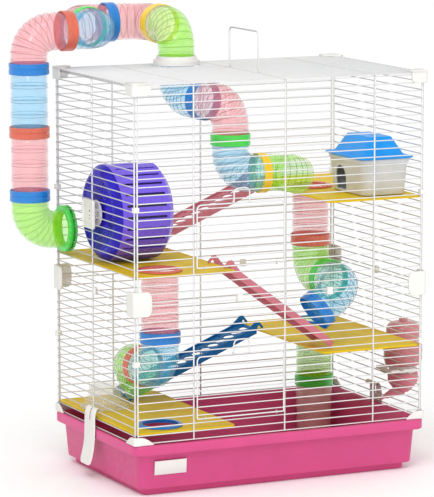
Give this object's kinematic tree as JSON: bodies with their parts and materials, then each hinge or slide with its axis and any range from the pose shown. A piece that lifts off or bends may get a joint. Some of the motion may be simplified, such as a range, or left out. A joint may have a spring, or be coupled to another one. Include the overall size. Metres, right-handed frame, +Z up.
{
  "type": "hamster cage",
  "caption": "Tall wire hamster cage on a deep plastic tray, with platforms, ramps, an exercise wheel, a house and a run of clear tubes inside and outside.",
  "frame": {"origin": "centre of the tray's flat underside", "axes": "+Z up, front with the two doors towards -Y, +X to the right of the front"},
  "size_m": [0.6125, 0.403, 0.6767],
  "materials": {
    "tray_pink": "moulded, satin gloss",
    "platform_yellow": "fine satin",
    "wire": "white powder coat",
    "white_plastic": "satin",
    "dusty_pink": "satin",
    "ramp_blue": "satin",
    "wheel_purple": "translucent tinted",
    "house_grey": "satin",
    "lid_blue": "glossy",
    "bottle_rose": "tinted",
    "tube_pink": "glossy tinted clear",
    "tube_lime": "glossy tinted clear",
    "tube_blue": "glossy tinted clear",
    "collar_blue": "glossy",
    "collar_orange": "glossy",
    "collar_green": "glossy",
    "collar_yellow": "glossy",
    "clear_plastic": "clear"
  },
  "bodies": {
    "cage": {"back_left_foot_clip": "white_plastic", "back_left_roof_cap": "white_plastic", "back_left_section_joint": "white_plastic", "back_right_foot_clip": "white_plastic", "back_right_roof_cap": "white_plastic", "back_right_section_joint": "white_plastic", "bottle_clip": "white_plastic", "front_left_foot_clip": "white_plastic", "front_left_roof_cap": "white_plastic", "front_left_section_joint": "white_plastic", "front_right_foot_clip": "white_plastic", "front_right_roof_cap": "white_plastic", "front_right_section_joint": "white_plastic", "house_body": "house_grey", "inner_down_elbow": "tube_pink", "inner_turn_elbow": "tube_blue", "left_drop_tube": "tube_pink", "left_exit_elbow": "tube_lime", "lower_back_panel": "wire", "lower_front_panel": "wire", "lower_left_panel": "wire", "lower_left_platform": "platform_yellow", "lower_ramp": "ramp_blue", "lower_right_panel": "wire", "lower_right_platform": "platform_yellow", "middle_ramp": "dusty_pink", "right_drop_tube": "tube_lime", "right_landing_elbow": "tube_blue", "right_shelf_tube": "tube_pink", "right_turn_elbow": "tube_lime", "riser_top_elbow": "tube_pink", "riser_tube": "tube_pink", "roof_drop_elbow": "tube_blue", "roof_entry_elbow": "tube_lime", "roof_panel": "wire", "roof_run_elbow_1": "tube_blue", "roof_run_elbow_2": "tube_pink", "roof_run_elbow_3": "tube_pink", "shelf_exit_elbow": "tube_lime", "tray": "tray_pink", "upper_back_panel": "wire", "upper_front_panel": "wire", "upper_left_panel": "wire", "upper_left_platform": "platform_yellow", "upper_ramp": "dusty_pink", "upper_right_panel": "wire", "upper_right_platform": "platform_yellow", "wall_elbow": "tube_lime", "wheel_bracket": "white_plastic"},
    "upper_door": {"upper_door": "wire"},
    "lower_door": {"lower_door": "wire"},
    "upper_door_hook": {"upper_door_hook": "wire"},
    "lower_door_hook": {"lower_door_hook": "wire"},
    "wheel": {"exercise_wheel": "wheel_purple"},
    "handle": {"carry_handle": "wire"},
    "left_latch": {"left_latch": "white_plastic"},
    "right_latch": {"right_latch": "white_plastic"},
    "house_lid": {"house_lid": "lid_blue"},
    "water_bottle": {"water_bottle": "bottle_rose"},
    "food_dish": {"food_dish": "clear_plastic"}
  },
  "joints": [
    {"name": "upper_door_hinge", "type": "hinge", "parent": "cage", "child": "upper_door", "pos_m": [-0.0675, -0.1465, 0.326], "axis": [1, 0, 0], "range_deg": [0, 150]},
    {"name": "lower_door_hinge", "type": "hinge", "parent": "cage", "child": "lower_door", "pos_m": [-0.0675, -0.1465, 0.108], "axis": [1, 0, 0], "range_deg": [0, 150]},
    {"name": "upper_hook_pivot", "type": "hinge", "parent": "upper_door", "child": "upper_door_hook", "pos_m": [-0.0675, -0.1465, 0.416], "axis": [1, 0, 0], "range_deg": [0, 90]},
    {"name": "lower_hook_pivot", "type": "hinge", "parent": "lower_door", "child": "lower_door_hook", "pos_m": [-0.0675, -0.1465, 0.198], "axis": [1, 0, 0], "range_deg": [0, 90]},
    {"name": "wheel_spin", "type": "hinge", "parent": "cage", "child": "wheel", "pos_m": [-0.172, 0.0153, 0.3895], "axis": [1, 0, 0], "continuous": true},
    {"name": "handle_fold", "type": "hinge", "parent": "cage", "child": "handle", "pos_m": [0.005, -0.006, 0.5892], "axis": [0, 1, 0], "range_deg": [-80, 80]},
    {"name": "left_latch_swing", "type": "hinge", "parent": "cage", "child": "left_latch", "pos_m": [-0.231, 0.009, 0.1022], "axis": [0, 1, 0], "range_deg": [0, 45]},
    {"name": "right_latch_swing", "type": "hinge", "parent": "cage", "child": "right_latch", "pos_m": [0.231, 0.009, 0.1022], "axis": [0, -1, 0], "range_deg": [0, 45]},
    {"name": "house_lid_lift", "type": "slide", "parent": "cage", "child": "house_lid", "axis": [0, 0, 1], "range_m": [0, 0.06]},
    {"name": "bottle_pull", "type": "slide", "parent": "cage", "child": "water_bottle", "axis": [1, 0, 0], "range_m": [0, 0.05]},
    {"name": "dish_slide", "type": "slide", "parent": "cage", "child": "food_dish", "axis": [0, 1, 0], "range_m": [0, 0.03]}
  ]
}
